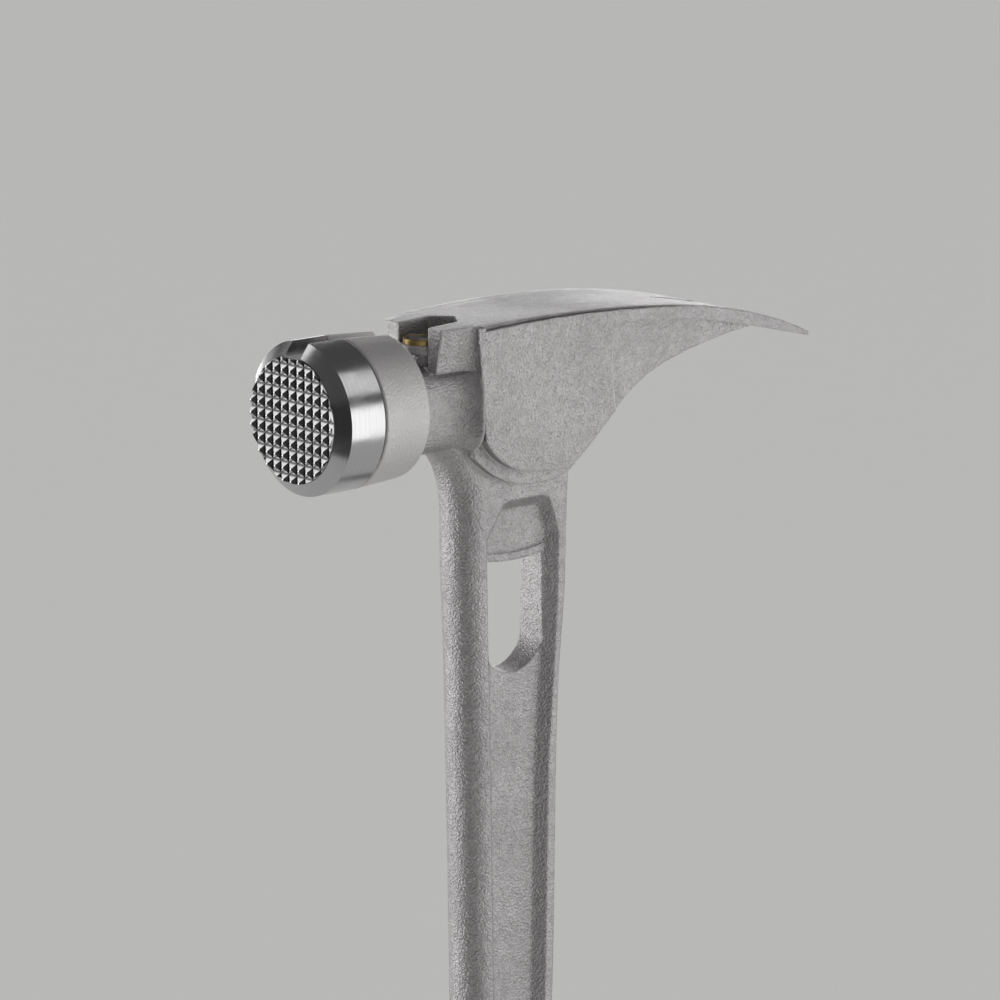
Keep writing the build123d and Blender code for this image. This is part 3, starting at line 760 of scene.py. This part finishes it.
@dataclass
class Grip:
    """Moulded rubber sleeve with ribbed front and back, and its butt cap."""

    sections: tuple[OvalSection, ...] = tuple(
        OvalSection(height * MM, depth * MM, width * MM)
        for height, depth, width in (
            (9.0, 41.0, 30.5),
            (18.0, 39.6, 29.9),
            (48.0, 33.0, 26.0),
            (100.0, 36.5, 28.5),
            (152.0, 32.4, 25.0),
            (192.0, 30.1, 21.2),
            (200.0, 28.5, 19.0),
        )
    )
    around: int = 128
    row_step: float = 0.5 * MM
    groove_pitch: float = 15.0 * MM
    groove_foot: float = 32.0 * MM
    groove_count: int = 10
    groove_depth: float = 0.9 * MM
    groove_floor: float = 2.4 * MM
    groove_mouth: float = 6.4 * MM
    groove_half_width: float = 10.5 * MM
    rib_pitch: float = 2.5 * MM
    rib_depth: float = 0.34 * MM
    panel_half_depth: float = 9.0 * MM
    panel_depth: float = 0.3 * MM
    groove_end_fade: float = 0.6 * MM
    ribbed_overrun: float = 8.0 * MM
    ribbed_fade: float = 3.0 * MM
    panel_fade: float = 1.2 * MM
    end_round: float = 1.6 * MM
    butt_round: float = 2.6 * MM
    butt_round_steps: int = 9
    butt_middle: float = 0.55
    butt_draft: float = 0.1 * MM
    seam_depth: float = 0.55 * MM
    seam_rows: tuple[float, float, float] = (1.3 * MM, 0.9 * MM, 0.4 * MM)
    sharp_from: float = math.radians(40.0)
    doubles_within: float = 0.001

    def size_at(self, height: float) -> tuple[float, float]:
        """Depth and width of the oval at a height, curving smoothly between the sections.

        Args:
            height: height above the butt.

        Returns:
            The oval's half depth and half width.
        """
        rows = self.sections
        spot = max(i for i in range(len(rows) - 1) if rows[i].height <= max(height, rows[0].height))
        low, high = rows[spot], rows[spot + 1]
        before, after = rows[max(spot - 1, 0)], rows[min(spot + 2, len(rows) - 1)]
        reach = high.height - low.height
        share = min(max((height - low.height) / reach, 0.0), 1.0)

        def curve(pick: str) -> float:
            """Hermite curve of one size through the four sections.

            Args:
                pick: which size, depth or width.

            Returns:
                The whole size at the height.
            """
            start, end = getattr(low, pick), getattr(high, pick)
            start_slope = (end - getattr(before, pick)) / (high.height - before.height) * reach
            end_slope = (getattr(after, pick) - start) / (after.height - low.height) * reach
            square, cube = share**2, share**3
            return (
                (2 * cube - 3 * square + 1) * start
                + (cube - 2 * square + share) * start_slope
                + (3 * square - 2 * cube) * end
                + (cube - square) * end_slope
            )

        return curve("depth") / 2, curve("width") / 2

    def relief(self, height: float, across: float, along: float) -> float:
        """How far the surface is sunk at a place: main grooves, fine ribs and the side panels.

        Args:
            height: height above the butt.
            across: distance from the middle plane, to either side.
            along: distance from the grip's axis, to the front or the back.

        Returns:
            The depth of the relief.
        """
        foot, top = self.groove_foot, self.groove_foot + (self.groove_count - 1) * self.groove_pitch
        row = min(max(round((height - foot) / self.groove_pitch), 0), self.groove_count - 1)
        off = abs(height - foot - row * self.groove_pitch)
        wall = (self.groove_mouth - self.groove_floor) / 2
        groove = min(max((self.groove_mouth / 2 - off) / wall, 0.0), 1.0)
        inside = min(max((self.groove_half_width - across) / self.groove_end_fade, 0.0), 1.0)
        overlap = min(height - foot, top - height) + self.ribbed_overrun
        ribbed = min(max(overlap / self.ribbed_fade, 0.0), 1.0)
        rib = 0.5 - 0.5 * math.cos(2 * math.pi * (height - foot) / self.rib_pitch)
        panel = min(max((self.panel_half_depth - along) / self.panel_fade, 0.0), 1.0)
        front = self.groove_depth * groove + self.rib_depth * rib * (1.0 - groove)
        return ribbed * (front * inside + self.panel_depth * panel * (1.0 - inside))

    def tube(self, rows: int) -> bmesh.types.BMesh:
        """A closed tube of unit radius, wrapped from a flat grid, with rings at heights 0, 1, 2 and so on.

        Args:
            rows: how many rows of faces it has.

        Returns:
            The mesh.
        """
        mesh = bmesh.new()
        bmesh.ops.create_grid(mesh, x_segments=self.around, y_segments=rows, size=0.5)
        for vert in mesh.verts:
            turn = 2 * math.pi * (vert.co.x + 0.5)
            vert.co = Vector((math.cos(turn), math.sin(turn), round((vert.co.y + 0.5) * rows)))
        bmesh.ops.remove_doubles(mesh, verts=mesh.verts, dist=self.doubles_within)
        rims = [edge for edge in mesh.edges if edge.is_boundary]
        bmesh.ops.holes_fill(mesh, edges=rims, sides=self.around)
        return mesh

    def finish_piece(
        self, mesh: bmesh.types.BMesh, name: str, node: str, slot: Slot, wardrobe: Wardrobe
    ) -> None:
        """Turns a mesh into a shown piece that stands for a solid part.

        Args:
            mesh: the finished bmesh.
            name: the piece's name.
            node: the node it replaces.
            slot: whose finish it takes.
            wardrobe: the finishes.
        """
        bmesh.ops.recalc_face_normals(mesh, faces=mesh.faces)
        data = bpy.data.meshes.new(name)
        mesh.to_mesh(data)
        mesh.free()
        data.shade_smooth()
        data.set_sharp_from_angle(angle=self.sharp_from)
        piece = bpy.data.objects.new(name, data)
        bpy.context.scene.collection.objects.link(piece)
        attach(piece, Body.HAMMER.value)
        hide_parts(node)
        wardrobe.dress_piece(piece, slot)
        LOG.info("built %s in place of %s", name, node)

    def build_sleeve(self, wardrobe: Wardrobe) -> None:
        """Builds the ribbed sleeve.

        Args:
            wardrobe: the finishes.
        """
        foot, top = self.sections[0].height, self.sections[-1].height
        count = round((top - foot) / self.row_step)
        heights = [foot + (top - foot) * row / count for row in range(count + 1)]
        mesh = self.tube(count)
        sizes = [self.size_at(height) for height in heights]
        for vert in mesh.verts:
            row = round(vert.co.z)
            height, (half_depth, half_width) = heights[row], sizes[row]
            rise = max(0.0, 1.0 - (top - height) / self.end_round)
            rounding = self.end_round * (1.0 - math.sqrt(max(0.0, 1.0 - rise**2)))
            sunk = rounding + self.relief(height, abs(vert.co.y) * half_width, abs(vert.co.x) * half_depth)
            vert.co = Vector((vert.co.x * (half_depth - sunk), vert.co.y * (half_width - sunk), height))
        self.finish_piece(mesh, "grip_ribbed_sleeve", "grip_sleeve", Slot.GRIP_RUBBER, wardrobe)

    def build_butt(self, wardrobe: Wardrobe) -> None:
        """Builds the butt cap with a rounded foot and a seam under the sleeve.

        Args:
            wardrobe: the finishes.
        """
        top = self.sections[0].height
        quarter = [math.pi / 2 * step / self.butt_round_steps for step in range(self.butt_round_steps + 1)]
        heights = [self.butt_round * (1.0 - math.cos(turn)) for turn in quarter]
        insets = [self.butt_round * (1.0 - math.sin(turn)) for turn in quarter]
        heights += [self.butt_middle * top, *(top - row for row in self.seam_rows), top]
        insets += [self.butt_draft, 0.0, self.seam_depth, self.seam_depth, self.butt_draft]
        mesh = self.tube(len(heights) - 1)
        half_depth, half_width = self.sections[0].depth / 2, self.sections[0].width / 2
        for vert in mesh.verts:
            row = round(vert.co.z)
            vert.co = Vector(
                (vert.co.x * (half_depth - insets[row]), vert.co.y * (half_width - insets[row]), heights[row])
            )
        self.finish_piece(mesh, "butt_end_cap", "butt_cap", Slot.BUTT_RUBBER, wardrobe)

    def build(self, wardrobe: Wardrobe) -> None:
        """Builds both rubber pieces."""
        self.build_sleeve(wardrobe)
        self.build_butt(wardrobe)


# ---------------------------------------------------------------- studio


@dataclass(frozen=True)
class Softbox:
    """One soft lamp, placed by its direction from the head."""

    name: str
    azimuth: float
    elevation: float
    distance: float
    width: float
    height: float
    power: float
    colour: Colour = (1.0, 1.0, 1.0)


@dataclass
class Studio:
    """Pale floor, soft lamps, plain surroundings and the camera."""

    aim: Vector = field(default_factory=lambda: Vector((0.0, 0.0, 0.42)))
    floor_radius: float = 14.0
    floor_sides: int = 96
    floor_colour: Colour = (0.57, 0.57, 0.563)
    floor_roughness: float = 0.9
    mottle_scale: float = 40.0
    mottle_detail: float = 4.0
    mottle_dark: float = 0.985
    surround: float = 0.09
    horizon_colour: Colour = (0.5, 0.5, 0.495)
    horizon_top: float = 0.1
    overhead_foot: float = 0.3
    camera_azimuth: float = -41.907
    camera_elevation: float = 12.352
    camera_point: Vector = field(default_factory=lambda: Vector((-0.055, 0.0, 0.4281)))
    camera_across: float = 0.04148
    camera_down: float = 0.01695
    camera_distance: float = 1.0
    lens: float = 172.43
    sensor: float = 36.0
    nearest_seen: float = 0.01
    farthest_seen: float = 100.0
    lamps: tuple[Softbox, ...] = (
        Softbox("right_softbox", 42.0, -5.0, 0.9, 0.95, 0.62, 2.35),
        Softbox("right_fill", 44.0, 40.0, 1.0, 0.6, 0.45, 0.8),
        Softbox("back_softbox", 138.0, 8.0, 1.2, 1.2, 0.62, 6.0),
        Softbox("left_back_softbox", -138.0, -6.0, 1.0, 0.7, 0.65, 3.7),
        Softbox("left_back_top", -146.0, 33.0, 1.1, 0.5, 0.4, 0.9),
        Softbox("front_top", -40.0, 54.0, 1.2, 1.0, 0.7, 0.9),
    )
    overhead_power: float = 2.4
    overhead_spread: float = math.radians(70.0)
    overhead_height: float = 3.0
    flag_azimuth: float = -76.0
    flag_elevation: float = -18.0
    flag_distance: float = 0.7
    flag_width: float = 0.85
    flag_height: float = 0.9
    flag_colour: Colour = (0.05, 0.05, 0.05)

    def direction(self, azimuth: float, elevation: float) -> Vector:
        """Unit vector towards an azimuth and elevation, azimuth 0 being the camera side of the Y axis.

        Args:
            azimuth: degrees from -Y towards +X.
            elevation: degrees above the floor.

        Returns:
            The direction.
        """
        turn, rise = math.radians(azimuth), math.radians(elevation)
        return Vector((math.sin(turn) * math.cos(rise), -math.cos(turn) * math.cos(rise), math.sin(rise)))

    def build_floor(self) -> bpy.types.Object:
        """Lays the round floor.

        Returns:
            The floor.
        """
        mesh = bmesh.new()
        bmesh.ops.create_circle(mesh, cap_ends=True, segments=self.floor_sides, radius=self.floor_radius)
        data = bpy.data.meshes.new("floor")
        mesh.to_mesh(data)
        mesh.free()
        floor = bpy.data.objects.new("floor", data)
        bpy.context.scene.collection.objects.link(floor)
        material = bpy.data.materials.new("pale_floor")
        material.use_nodes = True
        sheet = NodeSheet(material.node_tree)
        shader = material.node_tree.nodes["Principled BSDF"]
        vector = sheet.add("ShaderNodeTexCoord").outputs["Object"]
        mottle = sheet.noise(vector, self.mottle_scale, self.mottle_detail)
        darker = tuple(self.mottle_dark * channel for channel in self.floor_colour)
        tone = sheet.blend(mottle, darker, self.floor_colour)
        sheet.feed(tone, shader.inputs["Base Color"])
        shader.inputs["Roughness"].default_value = self.floor_roughness
        data.materials.append(material)
        return floor

    def build_lamps(self, floor: bpy.types.Object) -> None:
        """Hangs the soft lamps, which light the object and leave the floor to the overhead light.

        Args:
            floor: the floor.
        """
        unlit = bpy.data.collections.new("unlit_by_softboxes")
        unlit.objects.link(floor)
        unlit.collection_objects[0].light_linking.link_state = "EXCLUDE"
        for lamp in self.lamps:
            light = bpy.data.lights.new(lamp.name, "AREA")
            light.shape = "RECTANGLE"
            light.size, light.size_y = lamp.width, lamp.height
            light.energy = lamp.power
            light.color = lamp.colour
            thing = bpy.data.objects.new(lamp.name, light)
            outward = self.direction(lamp.azimuth, lamp.elevation)
            thing.location = self.aim + outward * lamp.distance
            thing.rotation_euler = outward.to_track_quat("Z", "Y").to_euler()
            thing.visible_camera = False
            thing.light_linking.receiver_collection = unlit
            bpy.context.scene.collection.objects.link(thing)

    def build_overhead(self) -> None:
        """Hangs the overhead light that keeps the floor an even pale grey out to the horizon."""
        light = bpy.data.lights.new("overhead", "SUN")
        light.energy = self.overhead_power
        light.angle = self.overhead_spread
        thing = bpy.data.objects.new("overhead", light)
        thing.location = Vector((0.0, 0.0, self.overhead_height))
        thing.visible_glossy = False
        bpy.context.scene.collection.objects.link(thing)

    def build_flag(self) -> None:
        """Stands the black card that draws the dark bands on the metal, out of the camera's sight."""
        mesh = bmesh.new()
        bmesh.ops.create_grid(mesh, x_segments=1, y_segments=1, size=0.5)
        outward = self.direction(self.flag_azimuth, self.flag_elevation)
        bmesh.ops.scale(mesh, verts=mesh.verts, vec=(self.flag_width, self.flag_height, 1.0))
        turn = outward.to_track_quat("Z", "Y").to_matrix()
        bmesh.ops.rotate(mesh, verts=mesh.verts, cent=(0.0, 0.0, 0.0), matrix=turn)
        bmesh.ops.translate(mesh, verts=mesh.verts, vec=self.aim + outward * self.flag_distance)
        data = bpy.data.meshes.new("black_card")
        mesh.to_mesh(data)
        mesh.free()
        card = bpy.data.objects.new("black_card", data)
        bpy.context.scene.collection.objects.link(card)
        material = bpy.data.materials.new("black_felt")
        material.use_nodes = True
        shader = material.node_tree.nodes["Principled BSDF"]
        shader.inputs["Base Color"].default_value = (*self.flag_colour, 1.0)
        shader.inputs["Roughness"].default_value = 1.0
        shader.inputs["Specular IOR Level"].default_value = 0.0
        data.materials.append(material)
        card.visible_camera = False
        card.visible_diffuse = False
        card.visible_shadow = False

    def build_surroundings(self) -> None:
        """Sets surroundings that are pale at the horizon, where the floor ends, and dim overhead."""
        world = bpy.data.worlds.new("surroundings")
        bpy.context.scene.world = world
        world.use_nodes = True
        tree = world.node_tree
        tree.nodes.clear()
        sheet = NodeSheet(tree)
        outward = sheet.add("ShaderNodeTexCoord").outputs["Generated"]
        rise = sheet.add("ShaderNodeSeparateXYZ", i0=outward).outputs[2]
        overhead = sheet.span(rise, self.horizon_top, self.overhead_foot)
        tone = sheet.blend(overhead, self.horizon_colour, (self.surround,) * 3)
        light = sheet.add("ShaderNodeBackground", Color=tone, Strength=1.0)
        sheet.feed(light.outputs[0], sheet.add("ShaderNodeOutputWorld").inputs["Surface"])

    def build_camera(self) -> None:
        """Sets the camera at the photograph's angle."""
        back = self.direction(self.camera_azimuth, self.camera_elevation)
        turn = math.radians(self.camera_azimuth)
        right = Vector((math.cos(turn), math.sin(turn), 0.0))
        up = back.cross(right)
        lens = bpy.data.cameras.new("camera")
        lens.lens = self.lens
        lens.sensor_width = self.sensor
        lens.clip_start = self.nearest_seen
        lens.clip_end = self.farthest_seen
        camera = bpy.data.objects.new("camera", lens)
        shift = right * self.camera_across - up * self.camera_down
        place = self.camera_point + back * self.camera_distance + shift
        camera.matrix_world = Matrix.Translation(place) @ Matrix((right, up, back)).transposed().to_4x4()
        bpy.context.scene.collection.objects.link(camera)
        bpy.context.scene.camera = camera

    def build(self) -> None:
        """Builds the studio."""
        bpy.context.scene.view_settings.view_transform = "Standard"
        self.build_lamps(self.build_floor())
        self.build_overhead()
        self.build_flag()
        self.build_surroundings()
        self.build_camera()
        LOG.info("studio ready with %d lamps", len(self.lamps))


def main() -> None:
    """Builds every sub-assembly in order."""
    logging.basicConfig(level=logging.INFO, format="%(name)s: %(message)s")
    wardrobe = Wardrobe()
    Casting().build(wardrobe)
    StrikingCap().build(wardrobe)
    NailHolder().build(wardrobe)
    CapLock().build(wardrobe)
    Grip().build(wardrobe)
    Studio().build()


if __name__ == "__main__":
    main()
